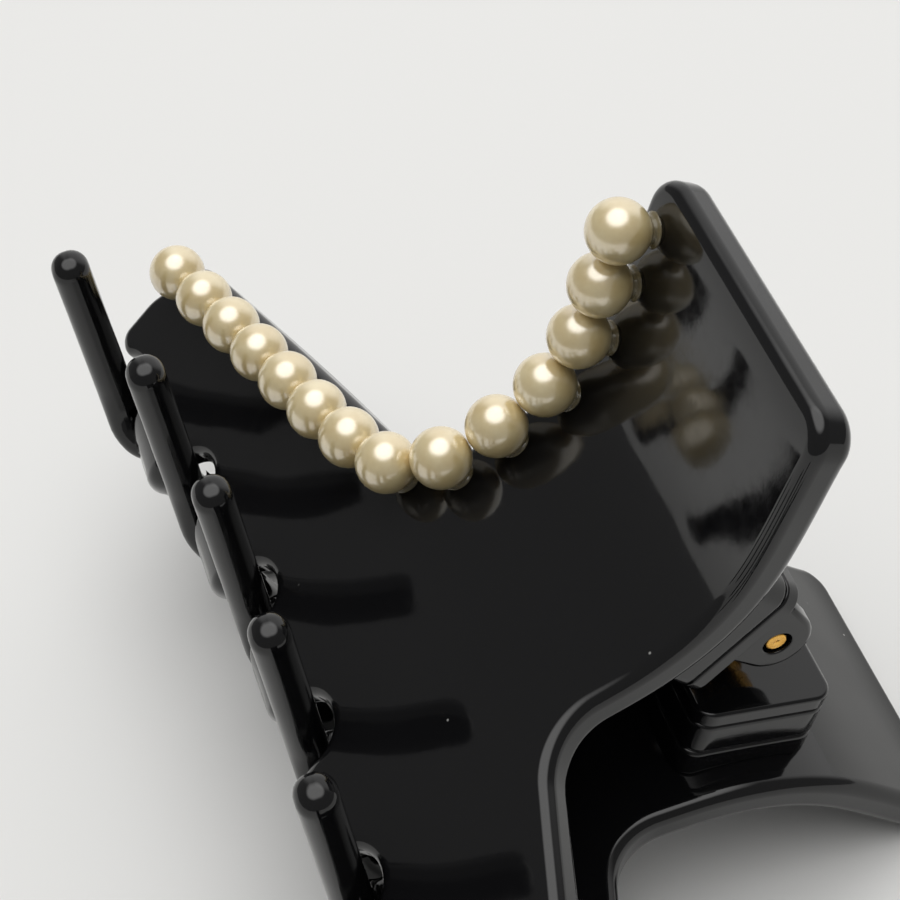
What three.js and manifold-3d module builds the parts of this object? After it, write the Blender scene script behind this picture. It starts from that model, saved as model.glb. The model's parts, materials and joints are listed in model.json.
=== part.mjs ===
// Large claw clip with a pearl trim, lying closed on its back jaw.
//
// Two bent acetate jaws turn on one brass pin. Each jaw has a flared handle, a notch at each end
// and a long body whose curved teeth pass through the slots between the other jaw's teeth.
// Both jaws are first built in the upright clip frame: X along the pin, +Y towards the front jaw,
// +Z towards the handles, origin on the pin. The finished clip is then laid down on its back.
//
// A jaw is described on its unrolled outer face: x runs along the clip, s runs down the face from
// the handle (s < 0) to the teeth (s > 0), and depth is measured inwards from that face.
import * as THREE from 'three';
import { mergeVertices } from 'three/addons/utils/BufferGeometryUtils.js';
import Module from 'manifold-3d';

const wasm = await Module();
wasm.setup();

const rad = THREE.MathUtils.degToRad;

// ---- driving dimensions, millimetres and degrees -------------------------------------------

const gap = 0.3; // kept between every two pieces

const plate = { thickness: 4.1, edgeRadius: 1.7 };

// Slope of the outer face against the clip's upright axis, at stations down the face: a flared
// handle with a flat grip and a tip that curls back, a hollow neck, a full belly, then straight
// down to the teeth.
const faceStart = { s: 0, y: 13.7, z: -19.3 };
const faceSlope = [
  { s: -38, angle: -40 },
  { s: -34, angle: -58.5 },
  { s: -26, angle: -58.5 },
  { s: -20, angle: -53 },
  { s: -13, angle: -32 },
  { s: -4, angle: -9 },
  { s: 3, angle: -12 },
  { s: 10, angle: -23 },
  { s: 19, angle: -14 },
];

const handle = { top: -37.6, topHalfWidth: 16.8, neckHalfWidth: 15.8, cornerRadius: 3.5 };
const body = { halfLength: 60, notchSlope: 18.7, notchStart: 3.05, notchRadius: 6.6, endCorner: 2.5 };

// Teeth stand one pitch apart. The slots between them close along a shallow arch, and
// archRate is how far that arch has dropped at distance x from the middle, over x squared.
const teeth = {
  pitch: 17.2,
  archRate: 0.0026,
  slotTop: 22,
  slotHalfWidth: 3.8,
  halfWidth: 2.2,
  taperLength: 6.5,
  bendStart: 23.8,
  bendRadius: 4,
  endAngle: -100,
  straightLength: 22.2,
  tipRadius: 1.95,
};
const frontTeeth = { count: 6, slots: 7 };
const backTeeth = { count: 7, slots: 6 };

// Each jaw carries a glued stack: pad, riser, then the piece that holds the pin.
// Heights are distances from the pin's axis.
const stack = {
  halfLength: 12.5,
  halfWidth: 7.2,
  cornerRadius: 2,
  tilt: -28.5,
  padFoot: 17,
  padTop: 12.15,
  riserTop: 8.05,
  seatTop: 6.35,
};
const lug = { inner: 7.45, outer: 9.95, radius: 3.6, footFrom: -5.2, footTo: 4.1 };
const knuckle = { from: -1.5, to: 1.2, radius: 5.2 };
const pin = { radius: 1.1, halfLength: 9.75, chamfer: 0.25 };
const bush = { from: -7.15, to: -1.8, radius: 2.9 };
const spring = { from: 2, wire: 1.35, pitch: 1.5, coilRadius: 5.35, wholeTurns: 2, leg: 5.5 };

// The pearls touch each other in a row set in from the notch's edge. The row turns the notch's
// root on an arc, and the eighth pearl sits `eighth` short of that arc's middle.
const pearl = { count: 14, radius: 3, pitch: 6.07, inset: 2.65, arcRadius: 9.2, eighth: 2.85 };

// ---- materials -----------------------------------------------------------------------------

const acetate = new THREE.MeshStandardMaterial({ color: 0x0b0b0c, roughness: 0.12, metalness: 0 });
const brass = new THREE.MeshStandardMaterial({ color: 0xd09a3e, roughness: 0.25, metalness: 1 });
const steel = new THREE.MeshStandardMaterial({ color: 0x35353a, roughness: 0.35, metalness: 1 });
const nacre = new THREE.MeshStandardMaterial({ color: 0xf1e7d3, roughness: 0.22, metalness: 0 });

// ---- solids --------------------------------------------------------------------------------

// Turns a closed three.js geometry into a solid that can be joined and cut.
function toSolid(geometry) {
  const bare = geometry.index ? geometry.toNonIndexed() : geometry.clone();
  bare.deleteAttribute('normal');
  bare.deleteAttribute('uv');
  const merged = mergeVertices(bare, 1e-4);
  const vertProperties = new Float32Array(merged.attributes.position.array);
  const triVerts = new Uint32Array(merged.index.array);
  return new wasm.Manifold(new wasm.Mesh({ numProp: 3, vertProperties, triVerts }));
}

function toGeometry(solid) {
  const mesh = solid.getMesh();
  const geometry = new THREE.BufferGeometry();
  geometry.setAttribute('position', new THREE.BufferAttribute(mesh.vertProperties, 3));
  geometry.setIndex(new THREE.BufferAttribute(mesh.triVerts, 1));
  geometry.computeVertexNormals();
  return geometry;
}

// A prism along X from a section drawn as (y, z) points.
function prismAlongX(section, from, to) {
  const shape = new THREE.Shape(section.map((p) => new THREE.Vector2(p.y, p.z)));
  const prism = new THREE.ExtrudeGeometry(shape, { depth: to - from, bevelEnabled: false });
  // Shape x, y and depth become clip y, z and x.
  prism.applyMatrix4(new THREE.Matrix4().set(0, 0, 1, from, 1, 0, 0, 0, 0, 1, 0, 0, 0, 0, 0, 1));
  return prism;
}

// Joins rings of points, each ring the same number of points, into one closed skin.
function loft(rings) {
  const points = rings.flat();
  const size = rings[0].length;
  const index = [];
  for (let r = 0; r < rings.length - 1; r += 1) {
    for (let i = 0; i < size; i += 1) {
      const a = r * size + i;
      const b = r * size + ((i + 1) % size);
      index.push(a, b, b + size, a, b + size, a + size);
    }
  }
  const last = (rings.length - 1) * size;
  for (let i = 1; i < size - 1; i += 1) {
    index.push(0, i + 1, i);
    index.push(last, last + i, last + i + 1);
  }
  const geometry = new THREE.BufferGeometry().setFromPoints(points);
  geometry.setIndex(index);
  return geometry;
}

// ---- the jaw's bent face -------------------------------------------------------------------

function slopeAt(s) {
  const stations = faceSlope;
  if (s <= stations[0].s) return rad(stations[0].angle);
  for (let i = 1; i < stations.length; i += 1) {
    const [a, b] = [stations[i - 1], stations[i]];
    if (s <= b.s) return rad(THREE.MathUtils.mapLinear(s, a.s, b.s, a.angle, b.angle));
  }
  return rad(stations.at(-1).angle);
}

// Point of the jaw's section at face length s and a depth below the outer face.
function facePoint(s, depth = 0) {
  const steps = Math.max(1, Math.ceil(Math.abs(s - faceStart.s) / 0.25));
  const step = (s - faceStart.s) / steps;
  let { y, z } = faceStart;
  for (let i = 0; i < steps; i += 1) {
    const angle = slopeAt(faceStart.s + (i + 0.5) * step);
    y += Math.sin(angle) * step;
    z -= Math.cos(angle) * step;
  }
  const angle = slopeAt(s);
  return { y: y - depth * Math.cos(angle), z: z - depth * Math.sin(angle), angle };
}

// The arch lowers the slots and teeth towards the clip's ends.
const archDrop = (x) => teeth.archRate * x * x;

const centresOf = (count) => Array.from({ length: count }, (_, i) => (i - (count - 1) / 2) * teeth.pitch);

// Section of the whole plate, with a rounded handle tip.
function plateSection(lastS) {
  const { thickness, edgeRadius } = plate;
  const outer = [];
  const inner = [];
  for (let s = handle.top + edgeRadius; s < lastS; s += 2.4) {
    outer.push(facePoint(s));
    inner.unshift(facePoint(s, thickness));
  }
  outer.push(facePoint(lastS));
  inner.unshift(facePoint(lastS, thickness));
  const tip = [];
  for (let i = 1; i <= 9; i += 1) {
    const turn = (Math.PI * i) / 10;
    const side = Math.cos(turn) < 0 ? edgeRadius : thickness - edgeRadius;
    const depth = side + edgeRadius * Math.cos(turn);
    tip.push(facePoint(handle.top + edgeRadius * (1 - Math.sin(turn)), depth));
  }
  return [...outer, ...inner, ...tip];
}

// Half of the outline, x > 0, from the middle of the handle's top edge round to the first slot.
function upperOutline() {
  const { top, topHalfWidth, neckHalfWidth, cornerRadius } = handle;
  const slope = Math.tan(rad(body.notchSlope));
  const bodyEdge = (x) => body.notchStart + (x - neckHalfWidth) * slope;
  const reach = body.notchRadius * Math.tan(rad(90 - body.notchSlope) / 2);
  const end = body.halfLength;
  const corner = body.endCorner;
  const outline = new THREE.Path();
  outline.moveTo(0, top);
  outline.lineTo(topHalfWidth - cornerRadius, top);
  outline.quadraticCurveTo(topHalfWidth, top, topHalfWidth, top + cornerRadius);
  outline.lineTo(neckHalfWidth, body.notchStart - reach);
  const notchEnd = neckHalfWidth + reach;
  outline.quadraticCurveTo(neckHalfWidth, body.notchStart, notchEnd, bodyEdge(notchEnd));
  outline.lineTo(end - corner, bodyEdge(end - corner));
  outline.quadraticCurveTo(end, bodyEdge(end), end, bodyEdge(end) + corner);
  return outline.getPoints(5).map((p) => ({ x: p.x, s: p.y }));
}

// Half width of a tooth where its face length is `below` past the closed end of its slots.
function toothHalfWidth(below) {
  const wide = teeth.pitch / 2 - teeth.slotHalfWidth;
  const t = THREE.MathUtils.clamp((below - teeth.slotHalfWidth) / teeth.taperLength, 0, 1);
  return THREE.MathUtils.lerp(wide, teeth.halfWidth, t * (2 - t));
}

// Where a tooth's bend starts, as a face length.
const bendStartAt = (x) => teeth.bendStart + archDrop(x);

// One side of a slot, from its round closed end straight down to the root beside it.
function slotSide(centre, side, root) {
  const top = teeth.slotTop + archDrop(centre);
  const sweep = Math.acos(THREE.MathUtils.clamp(1 - (root - top) / teeth.slotHalfWidth, 0, 1));
  const points = Array.from({ length: 6 }, (_, i) => {
    const turn = (sweep * i) / 5;
    const along = side * teeth.slotHalfWidth * Math.sin(turn);
    return { x: centre + along, s: top + teeth.slotHalfWidth * (1 - Math.cos(turn)) };
  });
  if (root > points.at(-1).s) points.push({ x: points.at(-1).x, s: root });
  return points;
}

// Lower edge of the flat plate: round slot tops between square tooth roots. The last slot's
// outer side stops at its own root, which the jaw's end gives.
function slottedEdge(slots, endRoot) {
  const rootBeside = (centre, side) => bendStartAt(centre + (side * teeth.pitch) / 2) + 0.6;
  return slots.flatMap((centre, i) => {
    const outer = i === slots.length - 1 ? endRoot : rootBeside(centre, 1);
    const inward = slotSide(centre, -1, rootBeside(centre, -1)).reverse();
    return [...inward, ...slotSide(centre, 1, outer).slice(1)];
  });
}

// A jaw's whole outline in (x, s), mirrored about its middle.
function jawOutline(slots, end) {
  const lower = slottedEdge(slots, end.root).filter((p) => p.x >= 0).reverse();
  const half = [...upperOutline(), ...end.outline, ...lower];
  const other = half.filter((p) => p.x > 0).map((p) => ({ x: -p.x, s: p.s })).reverse();
  return [...half, ...other];
}

// Stations down one tooth: where its middle line runs, its slope and its half sizes.
function toothStations(x) {
  const drop = archDrop(x);
  const from = teeth.slotTop + drop - 1;
  const flat = bendStartAt(x) - from;
  const straightAngle = slopeAt(bendStartAt(x));
  const turn = straightAngle - rad(teeth.endAngle);
  const bendLength = teeth.bendRadius * turn;
  const length = flat + bendLength + teeth.straightLength;
  const bends = Array.from({ length: 7 }, (_, i) => flat + (bendLength * i) / 6);
  const stops = [0, flat / 2, ...bends, length - teeth.straightLength / 2, length];
  const angleAt = (d) => straightAngle - turn * THREE.MathUtils.clamp((d - flat) / bendLength, 0, 1);
  const stations = [];
  let { y, z } = facePoint(from, plate.thickness / 2);
  let at = 0;
  stops.forEach((stop) => {
    const step = (stop - at) / 8;
    for (let i = 0; i < 8; i += 1) {
      y += Math.sin(angleAt(at + (i + 0.5) * step)) * step;
      z -= Math.cos(angleAt(at + (i + 0.5) * step)) * step;
    }
    at = stop;
    // The part inside the plate stays narrower and thinner than the plate around it.
    const buried = stop < flat ? 0.5 : 0;
    const halfThick = THREE.MathUtils.mapLinear(stop, 0, length, plate.thickness / 2, teeth.tipRadius);
    const halfWide = toothHalfWidth(from + stop - teeth.slotTop - drop) - buried;
    stations.push({ y, z, angle: angleAt(stop), halfWide, halfThick: halfThick - 0.1 * buried });
  });
  return stations;
}

// One tooth: a finger with eight-sided sections that leaves the plate, bends and ends round.
function toothFinger(x) {
  const corner = 0.45;
  const quarter = [[1, corner], [corner, 1]];
  const half = [...quarter, ...quarter.map(([out, side]) => [-side, out])];
  const corners = [...half, ...half.map(([out, side]) => [-out, -side])];
  const ring = ({ y, z, angle, halfThick, halfWide }) => corners.map(([out, side]) => new THREE.Vector3(
    x + side * halfWide,
    y + out * halfThick * Math.cos(angle),
    z + out * halfThick * Math.sin(angle),
  ));
  const stations = toothStations(x);
  const last = stations.at(-1);
  const tipRings = [35, 62, 80].map((degrees) => {
    const ahead = last.halfThick * Math.sin(rad(degrees));
    const shrink = Math.cos(rad(degrees));
    return {
      ...last,
      y: last.y + ahead * Math.sin(last.angle),
      z: last.z - ahead * Math.cos(last.angle),
      halfThick: last.halfThick * shrink,
      halfWide: last.halfWide * shrink,
    };
  });
  return loft([...stations, ...tipRings].map(ring));
}

// A jaw facing +Y: the bent plate cut to its outline, with its teeth joined on.
function jawSolid({ count, slots }, end) {
  const deepest = bendStartAt(body.halfLength) + 2;
  const bent = toSolid(prismAlongX(plateSection(deepest), -body.halfLength - 1, body.halfLength + 1));
  const outline = jawOutline(centresOf(slots), end);
  const heightAt = (s) => facePoint(s, plate.thickness / 2).z;
  const shape = new THREE.Shape(outline.map((p) => new THREE.Vector2(p.x, heightAt(p.s))));
  const cutter = new THREE.ExtrudeGeometry(shape, { depth: 80, bevelEnabled: false });
  cutter.rotateX(Math.PI / 2);
  cutter.translate(0, 60, 0);
  return centresOf(count)
    .map((x) => toSolid(toothFinger(x)))
    .reduce((jaw, tooth) => jaw.add(tooth), bent.intersect(toSolid(cutter)));
}

// Beside the front jaw's outermost slot the plate ends in a short stub.
function frontEnd() {
  const outline = [
    { x: 60, s: 24.6 },
    { x: 59.4, s: 27.4 },
    { x: 58.4, s: 29.4 },
    { x: 57.2, s: 30.3 },
    { x: 56.2, s: 30.3 },
  ];
  return { outline, root: 29.4 };
}

// The back jaw's plate curves in at its end to the outermost tooth.
function backEnd() {
  const tooth = ((backTeeth.count - 1) / 2) * teeth.pitch;
  const root = bendStartAt(tooth) + 0.6;
  const outline = [
    { x: 60, s: 22.8 },
    { x: 59.2, s: 25.2 },
    { x: 57.9, s: 27.4 },
    { x: 56.9, s: 29.6 },
    { x: tooth + teeth.pitch / 2 - teeth.slotHalfWidth, s: root },
  ];
  return { outline, root };
}

// ---- the hinge stack -----------------------------------------------------------------------

// The stack's own directions, for a jaw in front: down the plate, and out from the pin to it.
const stackDown = new THREE.Vector3(0, Math.sin(rad(stack.tilt)), -Math.cos(rad(stack.tilt)));
const stackOut = new THREE.Vector3(0, Math.cos(rad(stack.tilt)), Math.sin(rad(stack.tilt)));

// A block of the stack with round corners, between two distances from the pin's axis.
function stackBlock(low, high) {
  const { halfLength, halfWidth, cornerRadius } = stack;
  const [cx, cy] = [halfLength - cornerRadius, halfWidth - cornerRadius];
  const shape = new THREE.Shape();
  shape.absarc(cx, -cy, cornerRadius, -Math.PI / 2, 0);
  shape.absarc(cx, cy, cornerRadius, 0, Math.PI / 2);
  shape.absarc(-cx, cy, cornerRadius, Math.PI / 2, Math.PI);
  shape.absarc(-cx, -cy, cornerRadius, Math.PI, 1.5 * Math.PI);
  const settings = { depth: high - low, bevelEnabled: false, curveSegments: 4 };
  const block = new THREE.ExtrudeGeometry(shape, settings);
  const place = new THREE.Matrix4().makeBasis(new THREE.Vector3(1, 0, 0), stackDown, stackOut);
  place.setPosition(stackOut.clone().multiplyScalar(low));
  return toSolid(block.applyMatrix4(place));
}

// The pad fits against the plate's curved inner face.
function stackPad() {
  const section = [];
  for (let s = -28; s <= 6; s += 1.5) section.push(facePoint(s, plate.thickness + gap));
  for (let s = 5; s >= -28; s -= 3) section.push(facePoint(s, -3));
  const room = toSolid(prismAlongX(section, -stack.halfLength - 1, stack.halfLength + 1));
  return stackBlock(stack.padTop, stack.padFoot).subtract(room);
}

// An upright plate of the seat: round about the pin and widening to its foot on the seat.
function earPrism(radius, from, to) {
  const footHeight = stack.seatTop + 0.6;
  const feet = [lug.footFrom, lug.footTo].map((down) => ({
    angle: Math.atan2(down, footHeight),
    spread: Math.acos(radius / Math.hypot(down, footHeight)),
    down,
  }));
  const first = feet[1].angle + feet[1].spread;
  const last = 2 * Math.PI + feet[0].angle - feet[0].spread;
  const outline = [{ high: footHeight, down: feet[0].down }, { high: footHeight, down: feet[1].down }];
  for (let i = 0; i <= 20; i += 1) {
    const angle = THREE.MathUtils.lerp(first, last, i / 20);
    outline.push({ high: radius * Math.cos(angle), down: radius * Math.sin(angle) });
  }
  const section = outline.map(({ high, down }) => new THREE.Vector3()
    .addScaledVector(stackOut, high)
    .addScaledVector(stackDown, down));
  return toSolid(prismAlongX(section, from, to));
}

// A round bar along X.
function barAlongX(radius, from, to, sides = 24) {
  const bar = new THREE.CylinderGeometry(radius, radius, to - from, sides);
  bar.rotateZ(Math.PI / 2);
  return bar.translate((from + to) / 2, 0, 0);
}

// The seat on the riser, with its ears and the hole for the pin.
function pinSeat(ears) {
  const hole = toSolid(barAlongX(pin.radius + gap, -stack.halfLength - 1, stack.halfLength + 1));
  return ears
    .reduce((seat, ear) => seat.add(ear), stackBlock(stack.seatTop, stack.riserTop - gap))
    .subtract(hole);
}

// A turned piece about the pin's axis, from a closed or axis-to-axis profile of [radius, x] pairs.
function turnedAboutPin(profile) {
  const lathe = new THREE.LatheGeometry(profile.map(([r, x]) => new THREE.Vector2(r, x)), 24);
  return lathe.rotateZ(-Math.PI / 2);
}

function pinGeometry() {
  const { radius, halfLength, chamfer } = pin;
  return turnedAboutPin([
    [0, -halfLength],
    [radius - chamfer, -halfLength],
    [radius, -halfLength + chamfer],
    [radius, halfLength - chamfer],
    [radius - chamfer, halfLength],
    [0, halfLength],
  ]);
}

function bushGeometry() {
  const bore = pin.radius + gap;
  const { from, to, radius } = bush;
  return turnedAboutPin([[bore, from], [radius, from], [radius, to], [bore, to], [bore, from]]);
}

// The torsion spring: a leg up the back seat, the coil round the pin, a leg up the front seat.
class SpringCurve extends THREE.Curve {
  getPoint(t, target = new THREE.Vector3()) {
    const { from, wire, pitch, coilRadius, wholeTurns, leg } = spring;
    const start = Math.PI - rad(stack.tilt);
    const sweep = 2 * Math.PI * (wholeTurns + 1) + rad(stack.tilt) - start;
    const coilLength = sweep * coilRadius;
    const along = t * (coilLength + 2 * leg) - leg;
    const turned = THREE.MathUtils.clamp(along / coilRadius, 0, sweep);
    const angle = start + turned;
    const past = along - turned * coilRadius;
    return target.set(
      from + wire / 2 + (pitch * turned) / (2 * Math.PI),
      coilRadius * Math.cos(angle) - past * Math.sin(angle),
      coilRadius * Math.sin(angle) + past * Math.cos(angle),
    );
  }
}

function springGeometry() {
  const wire = new THREE.Shape().absarc(0, 0, spring.wire / 2, 0, 2 * Math.PI);
  return new THREE.ExtrudeGeometry(wire, {
    extrudePath: new SpringCurve(),
    steps: 84,
    curveSegments: 4,
    bevelEnabled: false,
  });
}

// ---- the pearls ----------------------------------------------------------------------------

// The row runs on the unrolled face: down the body, round the notch's root and up the handle.
// Returns its point at length u, which is 0 at the middle of the arc and negative on the body.
function pearlRow() {
  const slope = rad(body.notchSlope);
  const toEnd = new THREE.Vector2(Math.cos(slope), Math.sin(slope));
  const flare = (handle.topHalfWidth - handle.neckHalfWidth) / (body.notchStart - handle.top);
  const toTop = new THREE.Vector2(flare, -1).normalize();
  const opening = Math.acos(toEnd.dot(toTop));
  const toMiddle = toEnd.clone().add(toTop).normalize();
  const corner = new THREE.Vector2(handle.neckHalfWidth, body.notchStart)
    .addScaledVector(toMiddle, -pearl.inset / Math.sin(opening / 2));
  const centre = corner.clone().addScaledVector(toMiddle, pearl.arcRadius / Math.sin(opening / 2));
  const halfSweep = (Math.PI - opening) / 2;
  const halfArc = pearl.arcRadius * halfSweep;
  return (u) => {
    const turned = THREE.MathUtils.clamp(u / pearl.arcRadius, -halfSweep, halfSweep);
    const onArc = toMiddle.clone().negate().rotateAround(new THREE.Vector2(), turned);
    const point = centre.clone().addScaledVector(onArc, pearl.arcRadius);
    if (u < -halfArc) point.addScaledVector(toEnd, -halfArc - u);
    if (u > halfArc) point.addScaledVector(toTop, u - halfArc);
    return point;
  };
}

function pearlCentres() {
  const row = pearlRow();
  const centreAt = (u) => {
    const { x, y: s } = row(u);
    const { y, z } = facePoint(s, -pearl.radius - gap);
    return new THREE.Vector3(x, y, z);
  };
  // Steps along the row until the next pearl just touches this one.
  const nextAlong = (u, way) => {
    const here = centreAt(u);
    let [near, far] = [pearl.radius, 2 * pearl.pitch];
    while (far - near > 0.001) {
      const middle = (near + far) / 2;
      if (centreAt(u + way * middle).distanceTo(here) < pearl.pitch) near = middle;
      else far = middle;
    }
    return u + way * near;
  };
  const places = [-pearl.eighth];
  while (places.length < 8) places.unshift(nextAlong(places[0], -1));
  while (places.length < pearl.count) places.push(nextAlong(places.at(-1), 1));
  return places.map(centreAt);
}

// ---- assembly ------------------------------------------------------------------------------

function piece(name, geometry, material) {
  const mesh = new THREE.Mesh(geometry, material);
  mesh.name = name;
  return mesh;
}

function frontJaw() {
  const group = new THREE.Group();
  const ears = [
    earPrism(lug.radius, -lug.outer, -lug.inner),
    earPrism(lug.radius, lug.inner, lug.outer),
  ];
  group.add(
    piece('jaw_front', toGeometry(jawSolid(frontTeeth, frontEnd())), acetate),
    piece('hinge_pad_front', toGeometry(stackPad()), acetate),
    piece('hinge_riser_front', toGeometry(stackBlock(stack.riserTop, stack.padTop - gap)), acetate),
    piece('hinge_lugs_front', toGeometry(pinSeat(ears)), acetate),
  );
  pearlCentres().forEach((centre, i) => {
    const number = String(i + 1).padStart(2, '0');
    const bead = piece(`pearl_${number}`, new THREE.SphereGeometry(pearl.radius, 14, 9), nacre);
    bead.position.copy(centre);
    group.add(bead);
  });
  return group;
}

// The back jaw is built facing +Y like the front one, then turned half round.
function backJaw() {
  const group = new THREE.Group();
  const ears = [earPrism(knuckle.radius, -knuckle.to, -knuckle.from)];
  group.add(
    piece('jaw_back', toGeometry(jawSolid(backTeeth, backEnd())), acetate),
    piece('hinge_pad_back', toGeometry(stackPad()), acetate),
    piece('hinge_riser_back', toGeometry(stackBlock(stack.riserTop, stack.padTop - gap)), acetate),
    piece('hinge_knuckle_back', toGeometry(pinSeat(ears)), acetate),
  );
  group.rotation.z = Math.PI;
  return group;
}

// Direction away from the table: the clip lies on the back handle's tip and the front jaw's
// outermost teeth, so both round edges touch one plane.
function tableNormalAngle() {
  const handleTip = facePoint(handle.top + plate.edgeRadius, plate.edgeRadius);
  const toothTip = toothStations(((frontTeeth.count - 1) / 2) * teeth.pitch).at(-1);
  const apart = new THREE.Vector2(-handleTip.y - toothTip.y, handleTip.z - toothTip.z);
  return apart.angle() - Math.acos((plate.edgeRadius - teeth.tipRadius) / apart.length());
}

const uprightClip = new THREE.Group();
uprightClip.add(
  frontJaw(),
  backJaw(),
  piece('hinge_pin', pinGeometry(), brass),
  piece('spring_bush', bushGeometry(), brass),
  piece('torsion_spring', springGeometry(), steel),
);
uprightClip.rotation.x = Math.PI / 2 - tableNormalAngle();

// The origin lies under the middle of the finished clip, on the table.
const box = new THREE.Box3().setFromObject(uprightClip, true);
const middle = box.getCenter(new THREE.Vector3());
uprightClip.position.set(-middle.x, -middle.y, -box.min.z);

const clawClip = new THREE.Group();
clawClip.add(uprightClip);
clawClip.updateMatrixWorld(true);

export default clawClip;
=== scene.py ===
"""The looks of a large claw clip: tumbled black acetate jaws, a brass pin and a pearl trim.

Lengths are millimetres in the upright clip frame of the CAD model, X along the hinge pin, +Y
towards the front jaw and +Z towards the handles, with the origin on the pin. to_row() lays the
clip down as the CAD model lies and turns millimetres into metres.
"""

import json
import math

import bmesh
import bpy
import numpy as np
from mathutils import Matrix, Vector
from mathutils.geometry import delaunay_2d_cdt


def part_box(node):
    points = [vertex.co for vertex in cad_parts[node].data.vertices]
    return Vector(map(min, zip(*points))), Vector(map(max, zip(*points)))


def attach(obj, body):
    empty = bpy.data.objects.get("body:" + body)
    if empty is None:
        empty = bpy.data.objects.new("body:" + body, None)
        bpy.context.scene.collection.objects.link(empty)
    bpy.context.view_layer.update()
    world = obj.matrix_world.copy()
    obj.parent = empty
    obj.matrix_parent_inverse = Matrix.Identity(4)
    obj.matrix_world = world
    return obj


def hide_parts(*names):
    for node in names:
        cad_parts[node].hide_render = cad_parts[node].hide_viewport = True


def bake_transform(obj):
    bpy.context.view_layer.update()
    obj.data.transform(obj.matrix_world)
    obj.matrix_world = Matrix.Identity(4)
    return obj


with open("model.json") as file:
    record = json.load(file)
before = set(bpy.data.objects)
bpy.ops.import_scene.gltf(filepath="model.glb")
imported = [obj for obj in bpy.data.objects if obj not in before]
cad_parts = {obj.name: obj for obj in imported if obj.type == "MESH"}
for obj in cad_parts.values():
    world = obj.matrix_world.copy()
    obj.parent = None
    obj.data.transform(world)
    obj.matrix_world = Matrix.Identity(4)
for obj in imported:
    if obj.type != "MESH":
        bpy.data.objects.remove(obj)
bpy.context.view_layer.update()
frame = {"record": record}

# ---- driving dimensions: millimetres and degrees, as in the CAD model ----------------------

THICKNESS = 4.1

# The outer face's section: its y and z at face length 0, and its slope against the upright axis
# at some face lengths, blended over BEND_BLEND to each side. The grip is the steep flat strip.
FACE_START = (13.7, -19.3)
FACE_SLOPE = [
    (-38, -40), (-34, -58.5), (-26, -58.5), (-20, -53), (-13, -32),
    (-4, -9), (3, -12), (10, -23), (19, -14),
]
GRIP_SLOPE = FACE_SLOPE[1][1]
BEND_BLEND = 5
FACE_SPAN, FACE_STEP = (-45, 60), 0.05

HANDLE_TOP, HANDLE_TOP_HALF, HANDLE_NECK_HALF, HANDLE_CORNER = -37.6, 16.8, 15.8, 3.5
BODY_HALF, NOTCH_SLOPE, NOTCH_START, NOTCH_RADIUS, BODY_CORNER = 60, 18.7, 3.05, 6.6, 2.5

TOOTH_PITCH, ARCH_RATE = 17.2, 0.0026
SLOT_TOP, SLOT_HALF = 22, 3.8
BEND_START, BEND_RADIUS, TOOTH_ANGLE, TOOTH_STRAIGHT = 23.8, 4, -100, 22.2
TOOTH_HALF, TOOTH_TIP_RADIUS, TOOTH_TAPER = 2.15, 1.95, 6.5
FRONT_TEETH, BACK_TEETH = 6, 7

# A tooth's sides: how far below its slot's top the root ends, how much sooner than its taper
# the side is straight, and the roundings there. Then what stays flat at a tip and a slot's top.
ROOT_DROP, ROOT_ROUND, TAPER_SHORT, TAPER_ROUND = 1.6, 4.5, 1.2, 9.0
TIP_FLAT, SLOT_FLAT = 0.15, 0.02
# Corners of the body's ends below the notches, as x, face length and rounding, and how much
# wider and rounder the outermost slot of the front jaw is on its outer side.
FRONT_END = [(BODY_HALF, 25.4, 4.5), (58.2, 30.2, 2.2), (55.9, 30.6, 1.8)]
BACK_END = [(BODY_HALF, 24.0, 4.5), (57.0, 29.4, 5.0)]
END_SLOT_HALF, END_SLOT_ROUND = 2.2, 5.0

STACK_TILT, STACK_HALF_LENGTH, STACK_HALF_WIDTH, STACK_CORNER = -28.5, 12.5, 7.2, 2
PAD_TOP, RISER_TOP, SEAT_TOP = 12.15, 8.05, 6.35
# How far the glued pieces sink into what they sit on: the pad into the jaw, a layer into the
# next, and an ear into its seat.
PAD_SINK, LAYER_SINK, EAR_SINK = 0.12, 0.02, 0.6
# A layer is meshed this thick and then stretched between its two faces.
LAYER_NOMINAL = 3.0
# The face lengths of the jaw that the stack can lie under.
STACK_UNDER = (-28, 10)
LUG_INNER, LUG_OUTER, LUG_RADIUS = 7.45, 9.95, 3.6
KNUCKLE_FROM, KNUCKLE_TO, KNUCKLE_RADIUS = -1.5, 1.2, 5.2
EAR_FOOT_FROM, EAR_FOOT_TO = -5.2, 4.1
PIN_RADIUS, PIN_HALF_LENGTH, PIN_HOLE_RADIUS = 1.1, 9.75, 1.4
BUSH_FROM, BUSH_TO, BUSH_RADIUS = -7.15, -1.8, 2.9
BUSH_CLEARANCE, BUSH_GROOVE_TOP, BUSH_GROOVE_FLOOR, BUSH_GROOVE_DEPTH = 0.15, 0.7, 0.4, 0.3
SPRING_FROM, SPRING_WIRE, SPRING_PITCH, SPRING_RADIUS, SPRING_LEG = 2, 1.35, 1.5, 5.35, 5.5
SPRING_WHOLE_TURNS = 2
PEARL_RADIUS, PEARL_COUNT = 3, 14
# Radius and height of the glue under a pearl, from below the face up to the pearl.
GLUE_PROFILE = [
    (0.05, -0.25), (1.75, -0.25), (1.7, 0.02), (1.5, 0.12), (1.32, 0.3), (1.28, 0.62), (0.05, 0.62),
]

# Rounding left by tumbling, on the sheet, the teeth and the small hinge pieces.
SHEET_EDGE, TOOTH_EDGE, BLOCK_EDGE, EAR_EDGE, HOLE_EDGE = 1.35, 1.85, 0.45, 0.6, 0.2
# How far below a slot's top the rounding starts to change from sheet to tooth, and over what length.
EDGE_FROM, EDGE_LENGTH = 2, 9

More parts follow.
